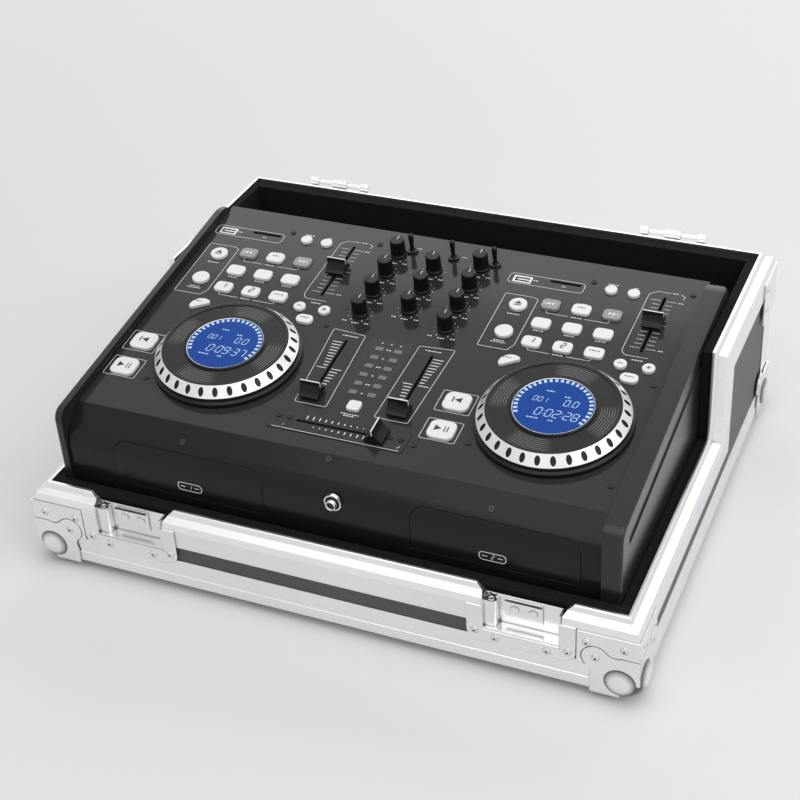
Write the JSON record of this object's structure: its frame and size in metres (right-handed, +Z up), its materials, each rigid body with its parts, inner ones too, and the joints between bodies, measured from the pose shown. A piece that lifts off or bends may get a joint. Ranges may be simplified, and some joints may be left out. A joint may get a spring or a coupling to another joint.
{
  "type": "dual disc player with mixer in case tray",
  "caption": "Tabletop dual disc player with jog wheels, round displays, front disc trays and a centre mixer, seated in the open lower tray of its metal-edged flight case.",
  "frame": {"origin": "bottom centre of the object: on the floor, under the middle of the case", "axes": "+X to the right of the person using it, +Y towards the rear, +Z up"},
  "size_m": [0.542, 0.4418, 0.1936],
  "materials": {
    "case_board": "matt laminate on plywood",
    "case_foam": "matt open-cell foam",
    "case_profile": "satin",
    "case_fittings": "bright plated steel",
    "case_feet": "matt",
    "console_steel": "satin charcoal",
    "cheek": "satin charcoal",
    "tray": "satin",
    "screw": "black",
    "socket_metal": "plated",
    "display": "gloss blue window",
    "meter_led": "translucent, unlit",
    "jog": "silver rim with a black grooved plate",
    "black_plastic": "satin black",
    "key_white": "soft gloss white",
    "toggle_metal": "bright plated",
    "mechanism": "plain",
    "circuit": "green board with black parts"
  },
  "bodies": {
    "console": {"case_floor": "case_board", "case_walls": "case_board", "foam_lining": "case_foam", "edge_profiles": "case_profile", "rim_profiles": "case_profile", "corner_hardware": "case_fittings", "latch_dishes": "case_fittings", "rivets": "case_fittings", "lid_hinges": "case_fittings", "rubber_feet": "case_feet", "chassis_pan": "console_steel", "deck_plate": "console_steel", "front_fascia": "console_steel", "side_cheeks": "cheek", "rear_connectors": "socket_metal", "deck_screws": "screw", "headphone_jack": "socket_metal", "media_ports": "socket_metal", "display_modules": "display", "level_meter": "meter_led", "crossfader_plate": "console_steel", "jog_bases": "black_plastic", "disc_loaders": "mechanism", "control_boards": "circuit"},
    "left_jog_wheel": {"left_jog_wheel": "jog"},
    "left_spindle": {"left_spindle": "mechanism"},
    "left_disc_tray": {"left_disc_tray": "tray"},
    "left_cue_key": {"left_cue_key": "key_white"},
    "left_play_key": {"left_play_key": "key_white"},
    "left_eject_key": {"left_eject_key": "key_white"},
    "left_keypad": {"left_keypad": "key_white"},
    "left_pitch_keys": {"left_pitch_keys": "key_white"},
    "left_pitch_fader": {"left_pitch_fader": "black_plastic"},
    "right_jog_wheel": {"right_jog_wheel": "jog"},
    "right_spindle": {"right_spindle": "mechanism"},
    "right_disc_tray": {"right_disc_tray": "tray"},
    "right_cue_key": {"right_cue_key": "key_white"},
    "right_play_key": {"right_play_key": "key_white"},
    "right_eject_key": {"right_eject_key": "key_white"},
    "right_keypad": {"right_keypad": "key_white"},
    "right_pitch_keys": {"right_pitch_keys": "key_white"},
    "right_pitch_fader": {"right_pitch_fader": "black_plastic"},
    "relay_key": {"relay_key": "key_white"},
    "channel_fader_1": {"channel_fader_1": "black_plastic"},
    "channel_fader_2": {"channel_fader_2": "black_plastic"},
    "crossfader": {"crossfader": "black_plastic"},
    "ch1_knob_1": {"ch1_knob_1": "black_plastic"},
    "ch1_knob_2": {"ch1_knob_2": "black_plastic"},
    "ch1_knob_3": {"ch1_knob_3": "black_plastic"},
    "ch1_knob_4": {"ch1_knob_4": "black_plastic"},
    "ch2_knob_1": {"ch2_knob_1": "black_plastic"},
    "ch2_knob_2": {"ch2_knob_2": "black_plastic"},
    "ch2_knob_3": {"ch2_knob_3": "black_plastic"},
    "ch2_knob_4": {"ch2_knob_4": "black_plastic"},
    "master_knob_1": {"master_knob_1": "black_plastic"},
    "master_knob_2": {"master_knob_2": "black_plastic"},
    "master_knob_3": {"master_knob_3": "black_plastic"},
    "toggle_ch1": {"toggle_ch1": "toggle_metal"},
    "toggle_cue": {"toggle_cue": "toggle_metal"},
    "toggle_ch2": {"toggle_ch2": "toggle_metal"}
  },
  "joints": [
    {"name": "left_jog_wheel_turn", "type": "hinge", "parent": "console", "child": "left_jog_wheel", "pos_m": [-0.1385, -0.0802, 0.1496], "axis": [0, -0.134, 0.991], "continuous": true},
    {"name": "left_spindle_turn", "type": "hinge", "parent": "console", "child": "left_spindle", "pos_m": [-0.1257, -0.1126, 0.0845], "axis": [0, 0, 1], "continuous": true},
    {"name": "left_disc_tray_slide", "type": "slide", "parent": "console", "child": "left_disc_tray", "axis": [0, -1, 0], "range_m": [0, 0.128]},
    {"name": "left_cue_key_slide", "type": "slide", "parent": "console", "child": "left_cue_key", "axis": [0, 0.134, -0.991], "range_m": [0, 0.0012], "stiffness_N_per_m": 400, "springref_m": -0.001},
    {"name": "left_play_key_slide", "type": "slide", "parent": "console", "child": "left_play_key", "axis": [0, 0.134, -0.991], "range_m": [0, 0.0012], "stiffness_N_per_m": 400, "springref_m": -0.001},
    {"name": "left_eject_key_slide", "type": "slide", "parent": "console", "child": "left_eject_key", "axis": [0, 0.134, -0.991], "range_m": [0, 0.0012], "stiffness_N_per_m": 400, "springref_m": -0.001},
    {"name": "left_keypad_slide", "type": "slide", "parent": "console", "child": "left_keypad", "axis": [0, 0.134, -0.991], "range_m": [0, 0.0012], "stiffness_N_per_m": 1200, "springref_m": -0.001},
    {"name": "left_pitch_keys_slide", "type": "slide", "parent": "console", "child": "left_pitch_keys", "axis": [0, 0.134, -0.991], "range_m": [0, 0.0012], "stiffness_N_per_m": 400, "springref_m": -0.001},
    {"name": "left_pitch_fader_slide", "type": "slide", "parent": "console", "child": "left_pitch_fader", "axis": [0, 0.991, 0.134], "range_m": [-0.035, 0.035]},
    {"name": "right_jog_wheel_turn", "type": "hinge", "parent": "console", "child": "right_jog_wheel", "pos_m": [0.1535, -0.0802, 0.1496], "axis": [0, -0.134, 0.991], "continuous": true},
    {"name": "right_spindle_turn", "type": "hinge", "parent": "console", "child": "right_spindle", "pos_m": [0.1407, -0.1126, 0.0845], "axis": [0, 0, 1], "continuous": true},
    {"name": "right_disc_tray_slide", "type": "slide", "parent": "console", "child": "right_disc_tray", "axis": [0, -1, 0], "range_m": [0, 0.128]},
    {"name": "right_cue_key_slide", "type": "slide", "parent": "console", "child": "right_cue_key", "axis": [0, 0.134, -0.991], "range_m": [0, 0.0012], "stiffness_N_per_m": 400, "springref_m": -0.001},
    {"name": "right_play_key_slide", "type": "slide", "parent": "console", "child": "right_play_key", "axis": [0, 0.134, -0.991], "range_m": [0, 0.0012], "stiffness_N_per_m": 400, "springref_m": -0.001},
    {"name": "right_eject_key_slide", "type": "slide", "parent": "console", "child": "right_eject_key", "axis": [0, 0.134, -0.991], "range_m": [0, 0.0012], "stiffness_N_per_m": 400, "springref_m": -0.001},
    {"name": "right_keypad_slide", "type": "slide", "parent": "console", "child": "right_keypad", "axis": [0, 0.134, -0.991], "range_m": [0, 0.0012], "stiffness_N_per_m": 1200, "springref_m": -0.001},
    {"name": "right_pitch_keys_slide", "type": "slide", "parent": "console", "child": "right_pitch_keys", "axis": [0, 0.134, -0.991], "range_m": [0, 0.0012], "stiffness_N_per_m": 400, "springref_m": -0.001},
    {"name": "right_pitch_fader_slide", "type": "slide", "parent": "console", "child": "right_pitch_fader", "axis": [0, 0.991, 0.134], "range_m": [-0.035, 0.035]},
    {"name": "relay_key_slide", "type": "slide", "parent": "console", "child": "relay_key", "axis": [0, 0.134, -0.991], "range_m": [0, 0.0012], "stiffness_N_per_m": 400, "springref_m": -0.001},
    {"name": "channel_fader_1_slide", "type": "slide", "parent": "console", "child": "channel_fader_1", "axis": [0, 0.991, 0.134], "range_m": [-0.0016, 0.0684]},
    {"name": "channel_fader_2_slide", "type": "slide", "parent": "console", "child": "channel_fader_2", "axis": [0, 0.991, 0.134], "range_m": [-0.0008, 0.0692]},
    {"name": "crossfader_slide", "type": "slide", "parent": "console", "child": "crossfader", "axis": [1, 0, 0], "range_m": [-0.0688, 0.0012]},
    {"name": "ch1_knob_1_turn", "type": "hinge", "parent": "console", "child": "ch1_knob_1", "pos_m": [-0.052, 0.00423, 0.16102], "axis": [0, -0.134, 0.991], "range_deg": [-150, 150]},
    {"name": "ch1_knob_2_turn", "type": "hinge", "parent": "console", "child": "ch1_knob_2", "pos_m": [-0.052, 0.03317, 0.16493], "axis": [0, -0.134, 0.991], "range_deg": [-150, 150]},
    {"name": "ch1_knob_3_turn", "type": "hinge", "parent": "console", "child": "ch1_knob_3", "pos_m": [-0.052, 0.0621, 0.16884], "axis": [0, -0.134, 0.991], "range_deg": [-150, 150]},
    {"name": "ch1_knob_4_turn", "type": "hinge", "parent": "console", "child": "ch1_knob_4", "pos_m": [-0.052, 0.09104, 0.17275], "axis": [0, -0.134, 0.991], "range_deg": [-150, 150]},
    {"name": "ch2_knob_1_turn", "type": "hinge", "parent": "console", "child": "ch2_knob_1", "pos_m": [0.028, 0.00423, 0.16102], "axis": [0, -0.134, 0.991], "range_deg": [-150, 150]},
    {"name": "ch2_knob_2_turn", "type": "hinge", "parent": "console", "child": "ch2_knob_2", "pos_m": [0.028, 0.03317, 0.16493], "axis": [0, -0.134, 0.991], "range_deg": [-150, 150]},
    {"name": "ch2_knob_3_turn", "type": "hinge", "parent": "console", "child": "ch2_knob_3", "pos_m": [0.028, 0.0621, 0.16884], "axis": [0, -0.134, 0.991], "range_deg": [-150, 150]},
    {"name": "ch2_knob_4_turn", "type": "hinge", "parent": "console", "child": "ch2_knob_4", "pos_m": [0.028, 0.09104, 0.17275], "axis": [0, -0.134, 0.991], "range_deg": [-150, 150]},
    {"name": "master_knob_1_turn", "type": "hinge", "parent": "console", "child": "master_knob_1", "pos_m": [-0.012, 0.01989, 0.16313], "axis": [0, -0.134, 0.991], "range_deg": [-150, 150]},
    {"name": "master_knob_2_turn", "type": "hinge", "parent": "console", "child": "master_knob_2", "pos_m": [-0.012, 0.04883, 0.16704], "axis": [0, -0.134, 0.991], "range_deg": [-150, 150]},
    {"name": "master_knob_3_turn", "type": "hinge", "parent": "console", "child": "master_knob_3", "pos_m": [-0.012, 0.07776, 0.17096], "axis": [0, -0.134, 0.991], "range_deg": [-150, 150]},
    {"name": "toggle_ch1_turn", "type": "hinge", "parent": "console", "child": "toggle_ch1", "pos_m": [-0.0415, 0.09854, 0.17478], "axis": [1, 0, 0], "range_deg": [-12, 12]},
    {"name": "toggle_cue_turn", "type": "hinge", "parent": "console", "child": "toggle_cue", "pos_m": [-0.0015, 0.09854, 0.17478], "axis": [1, 0, 0], "range_deg": [-12, 12]},
    {"name": "toggle_ch2_turn", "type": "hinge", "parent": "console", "child": "toggle_ch2", "pos_m": [0.0385, 0.09854, 0.17478], "axis": [1, 0, 0], "range_deg": [-12, 12]}
  ]
}
